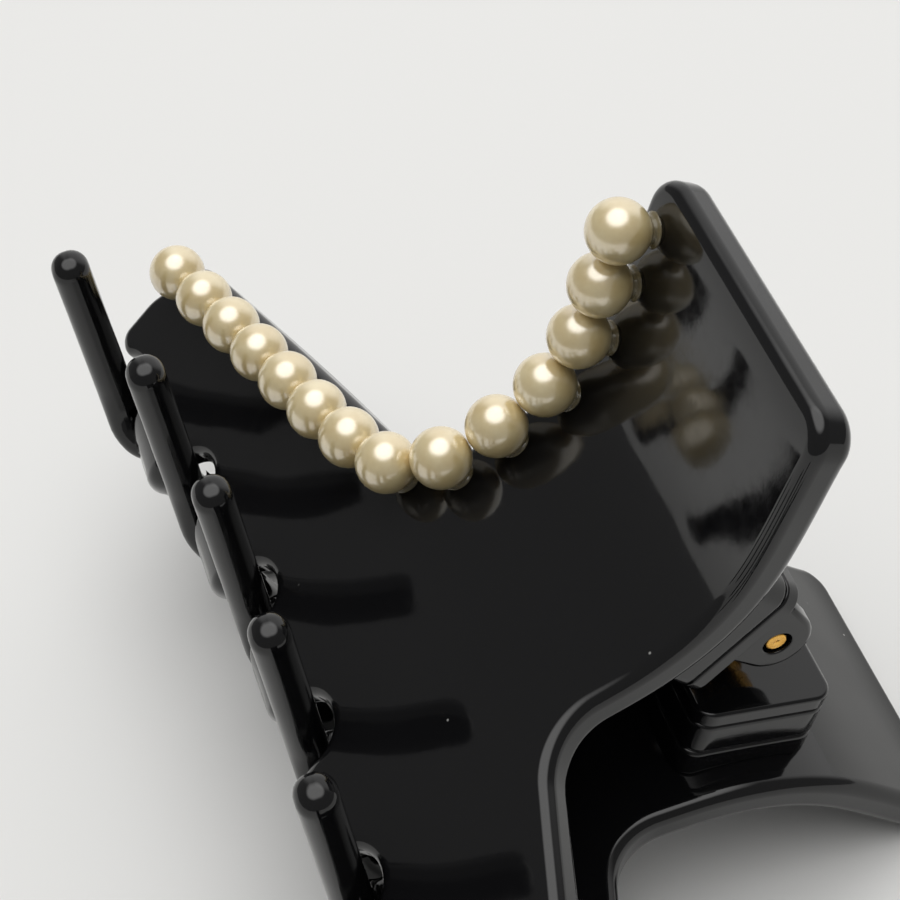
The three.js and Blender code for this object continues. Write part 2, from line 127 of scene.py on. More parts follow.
# ---- the clip's place in the row frame -----------------------------------------------------

MM = 0.001
RECORD = frame["record"]
PIN_AT = np.array(RECORD["behaviour"]["joints"][0]["pos_m"])


def lying_angle():
    """How far the upright clip is turned about X to lie down, from the back grip face."""
    grip = next(m for m in RECORD["mounts"] if m["name"] == "grip_face_back")
    _, out, up = grip["axis"]
    slope = math.radians(GRIP_SLOPE)
    return math.atan2(up, out) - math.atan2(math.sin(slope), -math.cos(slope))


LYING = lying_angle()


def turn_down(vectors):
    """Directions of the upright clip as they are in the row frame."""
    v = np.asarray(vectors, float)
    c, s = math.cos(LYING), math.sin(LYING)
    return np.stack([v[..., 0], v[..., 1] * c - v[..., 2] * s, v[..., 1] * s + v[..., 2] * c], -1)


def to_row(points):
    return turn_down(points) * MM + PIN_AT


def half_turn(vectors):
    """Takes what is built facing +Y round to the back jaw's side."""
    return np.asarray(vectors, float) * np.array([-1.0, -1.0, 1.0])


# ---- mesh helpers --------------------------------------------------------------------------


def linked_object(name, mesh):
    """A smooth-shaded object of the mesh, linked into the scene."""
    mesh.polygons.foreach_set("use_smooth", [True] * len(mesh.polygons))
    obj = bpy.data.objects.new(name, mesh)
    bpy.context.scene.collection.objects.link(obj)
    return obj


def row_object(name, points, faces):
    """A smooth mesh object from row frame points, with its faces turned outwards."""
    mesh = bpy.data.meshes.new(name)
    mesh.from_pydata([tuple(p) for p in points], [], faces)
    skin = bmesh.new()
    skin.from_mesh(mesh)
    bmesh.ops.recalc_face_normals(skin, faces=skin.faces)
    skin.to_mesh(mesh)
    skin.free()
    return linked_object(name, mesh)


def make_object(name, points, faces, normals=None):
    """A smooth mesh object from clip frame points."""
    obj = row_object(name, to_row(points), faces)
    if normals is not None:
        obj.data.normals_split_custom_set_from_vertices([tuple(n) for n in turn_down(normals)])
    return obj


def strip(first, second, size):
    """Quads between two closed rows of points that start at the given indices."""
    quads = []
    for i in range(size):
        k = (i + 1) % size
        quads.append((first + i, first + k, second + k, second + i))
    return quads


def tube_faces(rows, sides):
    """Quads along rows of points that each go once round, with both ends capped."""
    faces = []
    for row in range(rows - 1):
        faces.extend(strip(row * sides, (row + 1) * sides, sides))
    faces.append(tuple(range(sides)))
    faces.append(tuple(range((rows - 1) * sides, rows * sides)))
    return faces


# Turns that are left sharp and the most that one piece of an arc may turn, the length below
# which two outline points are one, and how far a grid point keeps from the rim, in spacings.
LEAST_TURN, ARC_TURN = math.radians(0.5), math.radians(9)
SAME_POINT, RIM_CLEARANCE = 1e-4, 0.6


def rounded_outline(corners, step):
    """A closed outline through (x, y, radius) corners, as points about `step` apart."""
    points = []
    count = len(corners)
    for i in range(count):
        here = Vector(corners[i][:2])
        back = (Vector(corners[i - 1][:2]) - here).normalized()
        on = (Vector(corners[(i + 1) % count][:2]) - here).normalized()
        opening = back.angle(on)
        turn = math.pi - opening
        radius = corners[i][2]
        if radius == 0 or turn < LEAST_TURN:
            points.append(here)
            continue
        reach = radius / math.tan(opening / 2)
        centre = here + (back + on).normalized() * (radius / math.sin(opening / 2))
        start = here + back * reach - centre
        sense = 1 if back.cross(on) < 0 else -1
        pieces = max(2, math.ceil(abs(turn) * radius / step), math.ceil(turn / ARC_TURN))
        for k in range(pieces + 1):
            angle = sense * turn * k / pieces
            points.append(centre + Matrix.Rotation(angle, 2) @ start)
    filled = []
    for i, point in enumerate(points):
        after = points[(i + 1) % len(points)]
        pieces = max(1, math.ceil((after - point).length / (2 * step)))
        if (after - point).length < SAME_POINT:
            continue
        filled.extend(point.lerp(after, k / pieces) for k in range(pieces))
    return np.array([tuple(p) for p in filled])


def signed_area(loop):
    x, y = loop[:, 0], loop[:, 1]
    return 0.5 * np.sum(x * np.roll(y, -1) - np.roll(x, -1) * y)


def inward_normals(loop):
    """Unit normals of a loop that point into the material, which lies to the loop's left."""
    along = np.roll(loop, -1, 0) - loop
    along /= np.linalg.norm(along, axis=1, keepdims=True)
    tangent = along + np.roll(along, 1, 0)
    tangent /= np.linalg.norm(tangent, axis=1, keepdims=True)
    return np.stack([-tangent[:, 1], tangent[:, 0]], 1)


def inside(points, loops):
    """Whether each point lies in the material between the loops, by the even-odd rule."""
    odd = np.zeros(len(points), bool)
    for loop in loops:
        a, b = loop, np.roll(loop, -1, 0)
        x, y = points[:, :1], points[:, 1:]
        crosses = (a[:, 1] > y) != (b[:, 1] > y)
        rise = np.where(b[:, 1] == a[:, 1], 1e-12, b[:, 1] - a[:, 1])
        at = a[:, 0] + (y - a[:, 1]) * (b[:, 0] - a[:, 0]) / rise
        odd ^= (np.sum(crosses & (x < at), 1) % 2).astype(bool)
    return odd


def fill_face(loops, spacing):
    """Triangles of the flat face inside the loops, with its extra points on an even grid."""
    rim = np.concatenate(loops)
    low, high = rim.min(0), rim.max(0)
    columns = np.arange(low[0] + spacing / 2, high[0], spacing)
    rows = np.arange(low[1] + spacing / 2, high[1], spacing)
    grid = np.stack(np.meshgrid(columns, rows), -1).reshape(-1, 2)
    grid = grid[inside(grid, loops)]
    if len(grid):
        nearest = np.min(np.linalg.norm(grid[:, None] - rim[None], axis=2), 1)
        grid = grid[nearest > RIM_CLEARANCE * spacing]
    edges = []
    start = 0
    for loop in loops:
        size = len(loop)
        edges.extend((start + i, start + (i + 1) % size) for i in range(size))
        start += size
    flat = [Vector(p) for p in np.concatenate([rim, grid])]
    found, _, triangles, origin, _, _ = delaunay_2d_cdt(flat, edges, [], 0, 1e-5)
    named = {i: given[0] for i, given in enumerate(origin) if given}
    triangles = [t for t in triangles if all(i in named for i in t)]
    centres = np.array([np.mean([found[i] for i in t], 0) for t in triangles])
    kept = inside(centres, loops)
    return grid, [tuple(named[i] for i in t) for t, keep in zip(triangles, kept) if keep]


def sheet_object(name, loops, edges, thickness, place, spacing=1.6, steps=7):
    """A sheet cut to flat loops with both faces rounded into its rim.

    edges gives each loop's rounding radius, as a number or one per point. place(flat, depth)
    returns clip frame points and, for each, the directions of flat x, flat y and depth 0.
    """
    wound_right = [(signed_area(loop) > 0) == (i == 0) for i, loop in enumerate(loops)]
    loops = [loop if right else loop[::-1] for loop, right in zip(loops, wound_right)]
    normals = [inward_normals(loop) for loop in loops]
    radii = [edge(loop) if callable(edge) else edge for edge, loop in zip(edges, loops)]
    radii = [np.broadcast_to(radius, len(loop)) for radius, loop in zip(radii, loops)]
    flat, depth, lean, away = [], [], [], []
    faces = []

    def add(points, depths, face_way, outward):
        first = sum(len(p) for p in flat)
        flat.append(points)
        depth.append(np.broadcast_to(depths, len(points)))
        lean.append(np.full(len(points), face_way))
        away.append(outward)
        return first

    last_rings = []
    for side in (1, -1):
        starts = []
        for loop, inward, radius in zip(loops, normals, radii):
            rings = []
            for k in range(steps + 1):
                phi = 0.5 * math.pi * (1 - k / steps)
                sunk = radius * (1 - math.cos(phi))
                ring_depth = sunk if side > 0 else thickness - sunk
                moved = loop + inward * (radius * (1 - math.sin(phi)))[:, None]
                rings.append(add(moved, ring_depth, side * math.cos(phi), -inward))
            size = len(loop)
            for a, b in zip(rings, rings[1:]):
                faces.extend(strip(a, b, size))
            starts.append((rings[0], rings[-1], size))
        last_rings.append(starts)
    for (front, _, size), (back, _, _) in zip(*last_rings):
        faces.extend(strip(front, back, size))

    face_loops = [
        loop + inward * radius[:, None] for loop, inward, radius in zip(loops, normals, radii)
    ]
    grid, triangles = fill_face(face_loops, spacing)
    for side, starts in zip((1, -1), last_rings):
        first = add(grid, 0 if side > 0 else thickness, side, np.zeros((len(grid), 2)))
        index = []
        for _, ring, size in starts:
            index.extend(range(ring, ring + size))
        index.extend(range(first, first + len(grid)))
        faces.extend(tuple(index[i] for i in t) for t in triangles)

    points, ax, ay, out = place(np.concatenate(flat), np.concatenate(depth))
    face_way, rim = np.concatenate(lean), np.concatenate(away)
    rim_way = np.sqrt(1 - face_way**2)
    shading = out * face_way[:, None] + (ax * rim[:, :1] + ay * rim[:, 1:]) * rim_way[:, None]
    shading /= np.linalg.norm(shading, axis=1, keepdims=True)
    return make_object(name, points, faces, shading)


# ---- the jaws ------------------------------------------------------------------------------


def face_table():
    """The outer face's section as (s, y, z, slope), by adding up short steps from s = 0."""
    s = np.arange(*FACE_SPAN, FACE_STEP)
    stations, angles = zip(*FACE_SLOPE)
    kinked = np.radians(np.interp(s, stations, angles))
    reach = round(BEND_BLEND / FACE_STEP)
    blend = np.hanning(2 * reach + 1)
    slope = np.convolve(np.pad(kinked, reach, mode="edge"), blend / blend.sum(), mode="valid")
    y = np.cumsum(np.sin(slope)) * FACE_STEP
    z = -np.cumsum(np.cos(slope)) * FACE_STEP
    y += FACE_START[0] - np.interp(0, s, y)
    z += FACE_START[1] - np.interp(0, s, z)
    return s, y, z, slope


FACE = face_table()


def arch_drop(x):
    return ARCH_RATE * x * x


def tooth_centres(count):
    return (np.arange(count) - (count - 1) / 2) * TOOTH_PITCH


def section_frame(slope):
    """Directions down the face and out of it, for a slope against the upright axis."""
    zero = np.zeros_like(slope)
    down = np.stack([zero, np.sin(slope), -np.cos(slope)], -1)
    out = np.stack([zero, np.cos(slope), np.sin(slope)], -1)
    return down, out


def bent_sheet(teeth):
    """The map that bends the flat sheet into a jaw and each tooth into its hook."""

    def place(flat, depth):
        x, s = flat[:, 0], flat[:, 1]
        centre = teeth[np.argmin(np.abs(x[:, None] - teeth[None]), 1)]
        bend_at = BEND_START + arch_drop(centre)
        bent = np.abs(x - centre) < TOOTH_PITCH / 2
        past = np.where(bent, np.maximum(s - bend_at, 0), 0)
        on_face = s - past
        y, z, slope = (np.interp(on_face, FACE[0], row) for row in FACE[1:])
        turn = slope - math.radians(TOOTH_ANGLE)
        turned = np.minimum(past / BEND_RADIUS, turn)
        straight = past - turned * BEND_RADIUS
        angle = slope - turned
        down, out = section_frame(angle)
        _, out_before = section_frame(slope)
        middle = np.stack([x, y, z], 1) - out_before * (THICKNESS / 2)
        middle += BEND_RADIUS * (out - out_before) * (past > 0)[:, None]
        middle += down * straight[:, None]
        thin = 1 - (1 - 2 * TOOTH_TIP_RADIUS / THICKNESS) * np.clip(past / TOOTH_STRAIGHT, 0, 1)
        points = middle + out * ((THICKNESS / 2 - depth) * thin)[:, None]
        across = np.zeros_like(out)
        across[:, 0] = 1
        return points, across, down, out

    return place


def tooth_length(centre):
    """Face length at a tooth's tip."""
    turn = math.radians(FACE_SLOPE[-1][1] - TOOTH_ANGLE)
    return BEND_START + arch_drop(centre) + BEND_RADIUS * turn + TOOTH_STRAIGHT + TOOTH_TIP_RADIUS


def tooth_side(centre, side):
    """One side of a tooth from its root to its tip, as outline corners."""
    root = SLOT_TOP + arch_drop(centre) + SLOT_HALF + ROOT_DROP
    wide = TOOTH_PITCH / 2 - SLOT_HALF
    return [
        (centre + side * wide, root, ROOT_ROUND),
        (centre + side * TOOTH_HALF, root + TOOTH_TAPER - TAPER_SHORT, TAPER_ROUND),
        (centre + side * TOOTH_HALF, tooth_length(centre), TOOTH_HALF - TIP_FLAT),
    ]


def slot_corners(centre):
    """The two corners of a slot's round top."""
    top = SLOT_TOP + arch_drop(centre)
    radius = SLOT_HALF - SLOT_FLAT
    return [(centre + SLOT_HALF, top, radius), (centre - SLOT_HALF, top, radius)]


def upper_corners():
    """The handle, the notch beside it and the body's upper corner."""
    end_s = NOTCH_START + (BODY_HALF - HANDLE_NECK_HALF) * math.tan(math.radians(NOTCH_SLOPE))
    return [
        (HANDLE_TOP_HALF, HANDLE_TOP, HANDLE_CORNER),
        (HANDLE_NECK_HALF, NOTCH_START, NOTCH_RADIUS),
        (BODY_HALF, end_s, BODY_CORNER),
    ]


def front_end():
    """From the body's end round the short stub to the outermost slot."""
    slot = FRONT_TEETH / 2 * TOOTH_PITCH
    outer = (slot + END_SLOT_HALF, SLOT_TOP + arch_drop(slot), END_SLOT_ROUND)
    return [*FRONT_END, outer, slot_corners(slot)[1]]


def jaw_outline(count, end):
    """The whole outline: the x > 0 half from the handle to the middle, then its mirror."""
    centres = tooth_centres(count)
    half = upper_corners() + end
    for centre in centres[centres > -1e-6][::-1]:
        half += tooth_side(centre, 1)
        if centre < 1e-6:
            break
        half += tooth_side(centre, -1)[::-1]
        if centre - TOOTH_PITCH / 2 > 1e-6:
            half += slot_corners(centre - TOOTH_PITCH / 2)
    if count % 2 == 0:
        half += slot_corners(0)[:1]
    mirrored = [(-x, s, radius) for x, s, radius in reversed(half)]
    return rounded_outline(half + mirrored, step=0.45)


def jaw_edge(loop):
    """Rounding radius along a jaw's outline: the teeth are rounder than the sheet."""
    below = loop[:, 1] - (SLOT_TOP + arch_drop(loop[:, 0]))
    share = np.clip((below - EDGE_FROM) / EDGE_LENGTH, 0, 1)
    return SHEET_EDGE + (TOOTH_EDGE - SHEET_EDGE) * share * share * (3 - 2 * share)


def build_jaw(name, node, body, count, end, turned):
    outline = jaw_outline(count, end)
    bend = bent_sheet(tooth_centres(count))

    def place(flat, depth):
        placed = bend(flat, depth)
        return tuple(half_turn(v) for v in placed) if turned else placed

    jaw = sheet_object(name, [outline], [jaw_edge], THICKNESS, place)
    finish_piece(jaw, body, "black_acetate", node)


# ---- the hinge -----------------------------------------------------------------------------

STACK_DOWN = np.array([0, math.sin(math.radians(STACK_TILT)), -math.cos(math.radians(STACK_TILT))])
STACK_OUT = np.array([0, math.cos(math.radians(STACK_TILT)), math.sin(math.radians(STACK_TILT))])
ALONG = np.array([1.0, 0.0, 0.0])


def repeated(direction, like):
    return np.broadcast_to(direction, (len(like), 3)).copy()


def plate_inner_height(down):
    """Distance out from the pin to the jaw's inner face, above each place on the stack."""
    _, y, z, slope = FACE
    inner_y = y - THICKNESS * np.cos(slope)
    inner_z = z - THICKNESS * np.sin(slope)
    near = (FACE[0] > STACK_UNDER[0]) & (FACE[0] < STACK_UNDER[1])
    along = inner_y * STACK_DOWN[1] + inner_z * STACK_DOWN[2]
    height = inner_y * STACK_OUT[1] + inner_z * STACK_OUT[2]
    return np.interp(down, along[near], height[near])


def block_object(name, low, high, turned):
    """A layer of the stack. Its face at `low` looks at the pin; `high` may follow the jaw."""
    signs = [(1, 1), (-1, 1), (-1, -1), (1, -1)]
    corners = [(i * STACK_HALF_LENGTH, j * STACK_HALF_WIDTH, STACK_CORNER) for i, j in signs]
    outline = rounded_outline(corners, step=0.3)

    def place(flat, depth):
        top = high(flat[:, 1]) if callable(high) else high
        height = low + depth * (top - low) / LAYER_NOMINAL
        points = flat[:, :1] * ALONG + flat[:, 1:] * STACK_DOWN + height[:, None] * STACK_OUT
        frame_rows = (repeated(ALONG, flat), repeated(STACK_DOWN, flat), repeated(-STACK_OUT, flat))
        placed = (points, *frame_rows)
        return tuple(half_turn(v) for v in placed) if turned else placed

    return sheet_object(name, [outline], [BLOCK_EDGE], LAYER_NOMINAL, place, spacing=2.0, steps=4)


def ear_object(name, radius, start, end, turned, points_round=48):
    """An upright plate of the seat, round about the pin and pierced for it."""
    foot = SEAT_TOP + EAR_SINK
    edges = []
    for down in (EAR_FOOT_TO, EAR_FOOT_FROM):
        edges.append((math.atan2(down, foot), math.acos(radius / math.hypot(down, foot))))
    first = edges[0][0] + edges[0][1]
    last = 2 * math.pi + edges[1][0] - edges[1][1]
    outline = [(EAR_FOOT_FROM, foot), (EAR_FOOT_TO, foot)]
    for angle in np.linspace(first, last, points_round):
        outline.append((radius * math.sin(angle), radius * math.cos(angle)))
    outline = np.array(outline)
    hole_angles = np.linspace(0, 2 * math.pi, points_round, endpoint=False)
    hole = PIN_HOLE_RADIUS * np.stack([np.cos(hole_angles), np.sin(hole_angles)], 1)

    def place(flat, depth):
        along = start + depth
        points = along[:, None] * ALONG + flat[:, :1] * STACK_DOWN + flat[:, 1:] * STACK_OUT
        frame_rows = (repeated(STACK_DOWN, flat), repeated(STACK_OUT, flat), repeated(-ALONG, flat))
        placed = (points, *frame_rows)
        return tuple(half_turn(v) for v in placed) if turned else placed

    roundings = [EAR_EDGE, HOLE_EDGE]
    return sheet_object(name, [outline, hole], roundings, end - start, place, spacing=0.9, steps=4)


def joined(name, objects):
    """One object from several meshes."""
    for obj in bpy.context.selected_objects:
        obj.select_set(False)
    for obj in objects:
        obj.select_set(True)
    bpy.context.view_layer.objects.active = objects[0]
    bpy.ops.object.join()
    objects[0].name = name
    return objects[0]


def pad_top(down):
    return plate_inner_height(down) + PAD_SINK


def build_hinge_stack(side, body, ears, ear_node):
    """One jaw's pad, riser and seat with its ears."""
    turned = side == "back"
    pad = block_object(f"{side}_pad", PAD_TOP, pad_top, turned)
    finish_piece(pad, body, "black_acetate", f"hinge_pad_{side}")
    riser = block_object(f"{side}_riser", RISER_TOP, PAD_TOP + LAYER_SINK, turned)
    finish_piece(riser, body, "black_acetate", f"hinge_riser_{side}")
    seat = block_object(f"{side}_seat", SEAT_TOP, RISER_TOP + LAYER_SINK, turned)
    plates = [ear_object(f"{side}_ear_{i}", *ear, turned) for i, ear in enumerate(ears)]
    whole = joined(f"{side}_pin_seat", [seat, *plates])
    finish_piece(whole, body, "black_acetate", ear_node)


def turned_object(name, profile, sides=72):
    """A piece turned about the pin's axis from a closed list of (radius, x)."""
    angles = np.linspace(0, 2 * math.pi, sides, endpoint=False)
    points = [(x, r * math.cos(a), r * math.sin(a)) for r, x in profile for a in angles]
    faces = []
    for row in range(len(profile)):
        after = (row + 1) % len(profile)
        faces.extend(strip(row * sides, after * sides, sides))
    return make_object(name, np.array(points), faces)


def rounded_profile(corners, step=0.06):
    return [tuple(p) for p in rounded_outline(corners, step)]


def build_pin():
    """A cut brass rod with softly broken ends, each with a shallow punch mark."""
    half, edge = PIN_HALF_LENGTH, 0.28
    mark_depth, mark_radius, mark_edge = 0.12, 0.35, 0.25
    core = 0.02
    corners = [
        (core, -half + mark_depth, 0),
        (mark_radius, -half, mark_edge),
        (PIN_RADIUS, -half, edge),
        (PIN_RADIUS, half, edge),
        (mark_radius, half, mark_edge),
        (core, half - mark_depth, 0),
    ]
    pin = turned_object("brass_pin", rounded_profile(corners))
    finish_piece(pin, "back_jaw", "brass", "hinge_pin")


def build_bush():
    """A brass bush round the pin with a groove in its middle."""
    bore = PIN_RADIUS + BUSH_CLEARANCE
    groove = 0.5 * (BUSH_FROM + BUSH_TO)
    floor = BUSH_RADIUS - BUSH_GROOVE_DEPTH
    bore_edge, end_edge, groove_edge = 0.15, 0.35, 0.2
    corners = [
        (bore, BUSH_FROM, bore_edge),
        (BUSH_RADIUS, BUSH_FROM, end_edge),
        (BUSH_RADIUS, groove - BUSH_GROOVE_TOP, groove_edge),
        (floor, groove - BUSH_GROOVE_FLOOR, groove_edge),
        (floor, groove + BUSH_GROOVE_FLOOR, groove_edge),
        (BUSH_RADIUS, groove + BUSH_GROOVE_TOP, groove_edge),
        (BUSH_RADIUS, BUSH_TO, end_edge),
        (bore, BUSH_TO, bore_edge),
    ]
    bush = turned_object("brass_bush", rounded_profile(corners))
    finish_piece(bush, "back_jaw", "brass", "spring_bush")


def build_spring(points_along=420, sides=18):
    """Round wire swept up the back seat, round the pin and up the front seat."""
    start = math.pi - math.radians(STACK_TILT)
    sweep = 2 * math.pi * (SPRING_WHOLE_TURNS + 1) + math.radians(STACK_TILT) - start
    coil = sweep * SPRING_RADIUS
    along = np.linspace(-SPRING_LEG, coil + SPRING_LEG, points_along)
    turned = np.clip(along / SPRING_RADIUS, 0, sweep)
    past = along - turned * SPRING_RADIUS
    angle = start + turned
    x = SPRING_FROM + SPRING_WIRE / 2 + SPRING_PITCH * turned / (2 * math.pi)
    y = SPRING_RADIUS * np.cos(angle) - past * np.sin(angle)
    z = SPRING_RADIUS * np.sin(angle) + past * np.cos(angle)
    path = np.stack([x, y, z], 1)
    tangent = np.gradient(path, axis=0)
    tangent /= np.linalg.norm(tangent, axis=1, keepdims=True)
    side = np.cross(tangent, ALONG)
    side /= np.linalg.norm(side, axis=1, keepdims=True)
    up = np.cross(side, tangent)
    # Each ring's point on the path, its share of the wire's radius and its push along the wire:
    # two smaller rings round off each end.
    rings = [(0, 0.35, -0.12), (0, 0.8, -0.06)]
    rings += [(i, 1.0, 0.0) for i in range(len(path))]
    rings += [(-1, 0.8, 0.06), (-1, 0.35, 0.12)]
    points = []
    for i, share, push in rings:
        radius = share * SPRING_WIRE / 2
        for k in range(sides):
            a = 2 * math.pi * k / sides
            around = math.cos(a) * side[i] + math.sin(a) * up[i]
            points.append(path[i] + tangent[i] * push + radius * around)
    spring = make_object("torsion_spring_wire", np.array(points), tube_faces(len(rings), sides))
    dress(spring, "spring_steel", "torsion_spring")
    low_x, high_x = path[:, 0].min(), path[:, 0].max()
    row_point(low_x)
    row_point(high_x)
    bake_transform(spring)


def row_point(x):
    return tuple(to_row(np.array([x, 0, 0])))


# ---- the pearls ----------------------------------------------------------------------------


def build_pearls():
    """The beads in the places of their CAD nodes, each on a ring of glue."""
    glue = []
    for number in range(1, PEARL_COUNT + 1):
        node = f"pearl_{number:02d}"
        low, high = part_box(node)
        centre = (Vector(low) + Vector(high)) / 2
        ball = bmesh.new()
        bmesh.ops.create_icosphere(ball, subdivisions=5, radius=PEARL_RADIUS * MM)
        mesh = bpy.data.meshes.new(node + "_bead")
        ball.to_mesh(mesh)
        ball.free()
        mesh.transform(Matrix.Translation(centre))
        bead = linked_object(node + "_bead", mesh)
        finish_piece(bead, "front_jaw", "pearl", node)
        glue.append(glue_spot(number, centre))
    spots = joined("pearl_glue", glue)
    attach(spots, "front_jaw")
    spots.data.materials.append(MATERIALS["glue"])


def face_below(centre):
    """Foot and outward direction on the front jaw's face under a row frame point."""
    s = FACE[0]
    face = to_row(np.stack([np.zeros_like(s), FACE[1], FACE[2]], 1))
    away = np.hypot(face[:, 1] - centre[1], face[:, 2] - centre[2])
    nearest = int(np.argmin(away))
    foot = Vector((centre[0], face[nearest][1], face[nearest][2]))
    return foot, (Vector(centre) - foot).normalized()


def glue_spot(number, centre, sides=32):
    """A small ring of clear glue that rises from the face to the pearl."""
    foot, out = face_below(centre)
    side = out.orthogonal().normalized()
    over = out.cross(side)
    points = []
    for radius, height in GLUE_PROFILE:
        for k in range(sides):
            a = 2 * math.pi * k / sides
            ring = side * math.cos(a) + over * math.sin(a)
            points.append(foot + (ring * radius + out * height) * MM)
    return row_object(f"glue_{number}", points, tube_faces(len(GLUE_PROFILE), sides))


# ---- materials -----------------------------------------------------------------------------


# A Mix node's colour sockets, which share their names with its number sockets.
MIX_LOW, MIX_HIGH, MIX_RESULT = 6, 7, 2


class Nodes:
    """A material's node tree, with short calls to add and join nodes."""

    def __init__(self, name):
        self.material = bpy.data.materials.new(name)
        self.material.use_nodes = True
        self.tree = self.material.node_tree
        self.shader = self.tree.nodes["Principled BSDF"]
        self.place = self.add("ShaderNodeTexCoord").outputs["Object"]

    def add(self, kind, **inputs):
        node = self.tree.nodes.new(kind)
        for key, value in inputs.items():
            node.inputs[key.replace("_", " ")].default_value = value
        return node

    def join(self, source, target):
        self.tree.links.new(source, target)

    def feed(self, name, source):
        """Joins a pattern to one of the shader's own inputs."""
        self.join(source, self.shader.inputs[name])

    def noise(self, scale, detail=3.0, roughness=0.5):
        node = self.add("ShaderNodeTexNoise", Scale=scale, Detail=detail, Roughness=roughness)
        self.join(self.place, node.inputs["Vector"])
        return node.outputs["Fac"]

    def spread(self, value, low, high, start=0.3, end=0.7):
        """Maps a 0 to 1 pattern onto low to high."""
        node = self.add("ShaderNodeMapRange")
        for key, number in (("From Min", start), ("From Max", end), ("To Min", low), ("To Max", high)):
            node.inputs[key].default_value = number
        self.join(value, node.inputs["Value"])
        return node.outputs["Result"]

    def tint(self, value, low, high):
        """Mixes two colours by a 0 to 1 pattern."""
        node = self.tree.nodes.new("ShaderNodeMix")
        node.data_type = "RGBA"
        node.inputs[MIX_LOW].default_value = (*low, 1)
        node.inputs[MIX_HIGH].default_value = (*high, 1)
        self.join(value, node.inputs["Factor"])
        return node.outputs[MIX_RESULT]

    def bump(self, height, distance, strength=1.0, under=None):
        node = self.add("ShaderNodeBump", Strength=strength, Distance=distance)
        self.join(height, node.inputs["Height"])
        if under is not None:
            self.join(under, node.inputs["Normal"])
        return node.outputs["Normal"]

    def set(self, **values):
        for key, value in values.items():
            self.shader.inputs[key.replace("_", " ")].default_value = value


def acetate_material():
    """Tumble-polished black acetate: slight waves, fine haze and a few specks of dust."""
    m = Nodes("black_acetate")
    m.set(IOR=1.49)
    waves = m.noise(90, detail=1.0)
    haze = m.noise(900, detail=4.0, roughness=0.65)
    m.feed("Roughness", m.spread(haze, 0.05, 0.11))
    specks = m.add("ShaderNodeTexVoronoi", Scale=330)
    m.join(m.place, specks.inputs["Vector"])
    dust = m.spread(specks.outputs["Distance"], 1.0, 0.0, 0.03, 0.055)
    patches = m.spread(m.noise(60, detail=2.0), 0.0, 1.0, 0.56, 0.6)
    both = m.tree.nodes.new("ShaderNodeMath")
    both.operation = "MULTIPLY"
    m.join(dust, both.inputs[0])
    m.join(patches, both.inputs[1])
    m.feed("Base Color", m.tint(both.outputs[0], (0.0045, 0.0045, 0.005), (0.30, 0.30, 0.29)))
    soft = m.bump(waves, 0.00016)
    m.feed("Normal", m.bump(haze, 0.0000025, under=soft))
    return m.material


def nacre_material():
    """Faux pearl: a golden cream body under one strong glossy coat."""
    m = Nodes("pearl_nacre")
    m.set(Metallic=0.1, IOR=2.2, Coat_Weight=1.0, Coat_Roughness=0.18, Coat_IOR=2.6)
    cloud = m.noise(420, detail=3.0)
    m.feed("Base Color", m.tint(m.spread(cloud, 0.0, 1.0), (0.71, 0.54, 0.24), (0.81, 0.67, 0.36)))
    grain = m.noise(3200, detail=2.0)
    m.feed("Roughness", m.spread(grain, 0.28, 0.36))
    m.feed("Normal", m.bump(cloud, 0.00002, under=m.bump(grain, 0.000001)))
    return m.material


def brass_material():
    """Cut brass with fine lines and light wear."""
    m = Nodes("brass")
    m.set(Metallic=1.0)
    wear = m.noise(700, detail=4.0)
    m.feed("Base Color", m.tint(m.spread(wear, 0.0, 1.0), (0.80, 0.42, 0.07), (0.92, 0.56, 0.16)))
    lines = m.noise(4200, detail=2.0)
    m.feed("Roughness", m.spread(lines, 0.2, 0.38))
    m.feed("Normal", m.bump(lines, 0.000002))
    return m.material


def steel_material():
    """Dark drawn spring wire with lines along it."""
    m = Nodes("spring_steel")
    m.set(Metallic=1.0)
    patches = m.noise(500, detail=4.0)
    m.feed("Base Color", m.tint(m.spread(patches, 0.0, 1.0), (0.07, 0.07, 0.075), (0.16, 0.155, 0.15)))
    m.feed("Roughness", m.spread(patches, 0.25, 0.42))
    m.feed("Normal", m.bump(m.noise(5000, detail=2.0), 0.000008))
    return m.material


def glue_material():
    """Clear yellowish glue, thin enough to show the black below."""
    m = Nodes("clear_glue")
    m.set(IOR=1.5, Transmission_Weight=0.6)
    uneven = m.noise(1500, detail=2.0)
    m.feed("Base Color", m.tint(uneven, (0.30, 0.24, 0.12), (0.45, 0.38, 0.22)))
    m.feed("Roughness", m.spread(uneven, 0.08, 0.2))
    return m.material


MATERIALS = {
    "black_acetate": acetate_material(),
    "pearl": nacre_material(),
    "brass": brass_material(),
    "spring_steel": steel_material(),
    "glue": glue_material(),
}


def dress(obj, slot_name, node):
    """Gives a piece its material and puts it in the place of its CAD node."""
    obj.data.materials.clear()
    obj.data.materials.append(MATERIALS[slot_name])
    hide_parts(node)


def finish_piece(obj, body, slot_name, node):
    dress(obj, slot_name, node)
    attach(obj, body)


# ---- camera, floor and light ---------------------------------------------------------------

LENS, SENSOR = 86.2, 36
CAMERA_AT = (-112.3, 173.7, -14.7)
CAMERA_LOOK = (0.627, -0.779, -0.025)
CAMERA_UP = (0.711, 0.559, 0.428)


